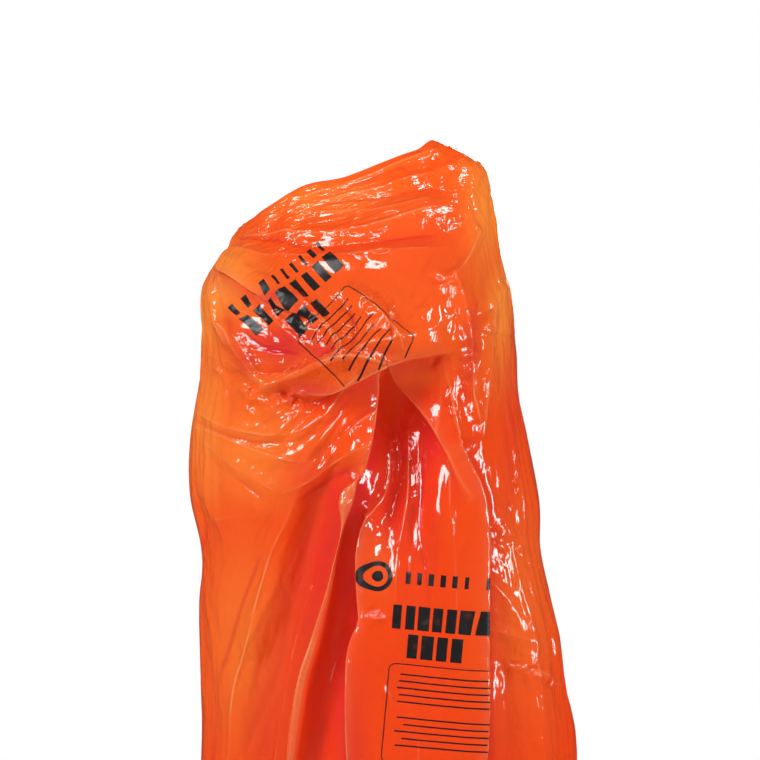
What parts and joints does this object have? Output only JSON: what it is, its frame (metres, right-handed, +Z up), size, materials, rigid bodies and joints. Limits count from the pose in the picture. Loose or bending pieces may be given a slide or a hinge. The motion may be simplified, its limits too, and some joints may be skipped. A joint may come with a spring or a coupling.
{
  "type": "survival bag",
  "caption": "Tube of thin orange film, welded shut at the ground and open at the top, in the draped shape it takes round a standing wearer.",
  "frame": {"origin": "on the ground, under the middle of the bag's box", "axes": "+Z up the bag to its mouth, -Y towards the viewer of its front, +X to that viewer's right"},
  "size_m": [0.806, 0.5302, 1.4922],
  "materials": {
    "film": "gloss",
    "weld": "satin"
  },
  "bodies": {
    "root": {"chest_wrap_left": "film", "chest_wrap_right": "film", "left_drape": "film", "front_recess": "film", "right_drape": "film", "cape_left": "film", "cape_right": "film", "back_fall_left": "film", "back_fall_middle": "film", "back_fall_right": "film", "foot_panel_front": "film", "foot_panel_back": "film", "bottom_weld": "weld"}
  },
  "joints": []
}
